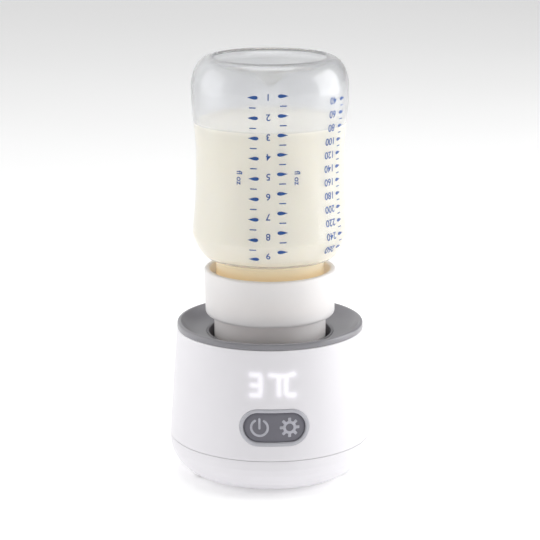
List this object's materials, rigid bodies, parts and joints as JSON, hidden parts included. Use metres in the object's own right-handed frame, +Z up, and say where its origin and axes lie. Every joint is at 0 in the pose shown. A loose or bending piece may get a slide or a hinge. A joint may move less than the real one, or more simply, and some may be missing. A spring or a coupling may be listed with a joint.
{
  "type": "bottle warmer",
  "caption": "Cordless bottle warmer: round white housing with a grey collar, oval touch pad, lit temperature window and a screw adapter holding an upturned feeding bottle.",
  "frame": {"origin": "centre of the rubber foot ring's underside, on the surface that the warmer stands on", "axes": "+Z up along the axis of the warmer and the bottle; the front, with the key pad, faces -Y; +X to the right seen from the front"},
  "size_m": [0.0914, 0.0914, 0.19],
  "materials": {
    "white_abs": "satin injection-moulded ABS",
    "grey_abs": "fine-textured injection-moulded ABS",
    "pale_grey_abs": "moulded heat-resistant plastic",
    "dark_rubber": "moulded rubber",
    "zinc_steel": "zinc-plated steel",
    "stainless_steel": "drawn and brushed stainless steel",
    "aluminium_sheet": "rolled sheet",
    "copper_polyimide": "etched track under amber film",
    "epoxy": "potted bead",
    "grey_silicone": "moulded silicone",
    "dark_silicone": "matt moulded silicone",
    "white_silicone": "matt moulded silicone",
    "cell_sleeve": "shrink sleeve",
    "black_plastic": "moulded plastic",
    "nickel_strip": "spot-welded nickel strip",
    "circuit_board": "solder mask on glass fibre",
    "component_plastic": "moulded component bodies",
    "led_module": "white reflector block with resin windows",
    "diffuser_film": "translucent diffusing film",
    "silver_plastic": "satin silver-grey plastic",
    "red_insulation": "extruded insulation",
    "yellow_insulation": "extruded insulation",
    "ribbon_cable": "flat flexible cable",
    "white_polypropylene": "satin moulded polypropylene",
    "clear_polypropylene": "clear-to-milky blow-moulded polypropylene",
    "milk": "opaque liquid"
  },
  "bodies": {
    "warmer": {"housing": "white_abs", "base_cover": "white_abs", "foot_ring": "dark_rubber", "base_screws": "zinc_steel", "top_collar": "grey_abs", "well_sleeve": "pale_grey_abs", "collar_screws": "zinc_steel", "heating_chamber": "stainless_steel", "chamber_screws": "zinc_steel", "heating_element": "copper_polyimide", "temperature_sensor": "epoxy", "heat_shield": "aluminium_sheet", "chamber_seal": "grey_silicone", "battery_cells": "cell_sleeve", "battery_holder": "black_plastic", "battery_tabs": "nickel_strip", "power_board": "circuit_board", "power_components": "component_plastic", "charging_socket": "stainless_steel", "board_screws": "zinc_steel", "front_board": "circuit_board", "display_module": "led_module", "tact_switches": "component_plastic", "display_diffuser": "diffuser_film", "keypad_bezel": "silver_plastic", "buzzer": "component_plastic", "battery_leads": "red_insulation", "heater_leads": "red_insulation", "sensor_leads": "yellow_insulation", "board_ribbon": "ribbon_cable", "flap_pin": "stainless_steel"},
    "power_key": {"power_key": "dark_silicone"},
    "settings_key": {"settings_key": "dark_silicone"},
    "port_flap": {"port_flap": "white_silicone"},
    "adapter_seal": {"adapter_seal": "grey_silicone"},
    "adapter": {"adapter": "white_polypropylene", "bottle_gasket": "grey_silicone"},
    "milk": {"milk": "milk"},
    "bottle": {"bottle": "clear_polypropylene"}
  },
  "joints": [
    {"name": "power_press", "type": "slide", "parent": "warmer", "child": "power_key", "axis": [0, 1, 0], "range_m": [0, 0.0005], "stiffness_N_per_m": 800, "springref_m": -0.0001},
    {"name": "settings_press", "type": "slide", "parent": "warmer", "child": "settings_key", "axis": [0, 1, 0], "range_m": [0, 0.0005], "stiffness_N_per_m": 800, "springref_m": -0.0001},
    {"name": "flap_open", "type": "hinge", "parent": "warmer", "child": "port_flap", "pos_m": [0, 0.04368, 0.02833], "axis": [-1, 0, 0], "range_deg": [0, 100]},
    {"name": "adapter_lift", "type": "slide", "parent": "warmer", "child": "adapter_seal", "axis": [0, 0, 1], "range_m": [0, 0.03]},
    {"name": "adapter_turn", "type": "hinge", "parent": "adapter_seal", "child": "adapter", "pos_m": [0, 0, 0.06], "axis": [0, 0, 1], "range_deg": [-45, 0]},
    {"name": "bottle_rise", "type": "slide", "parent": "adapter", "child": "milk", "axis": [0, 0, 1], "range_m": [0, 0.0045]},
    {"name": "bottle_turn", "type": "hinge", "parent": "milk", "child": "bottle", "pos_m": [0, 0, 0.085], "axis": [0, 0, 1], "range_deg": [0, 360]}
  ],
  "couplings": [
    {"joint": "bottle_rise", "follows": "bottle_turn", "m_per_rad": 0.000716}
  ]
}
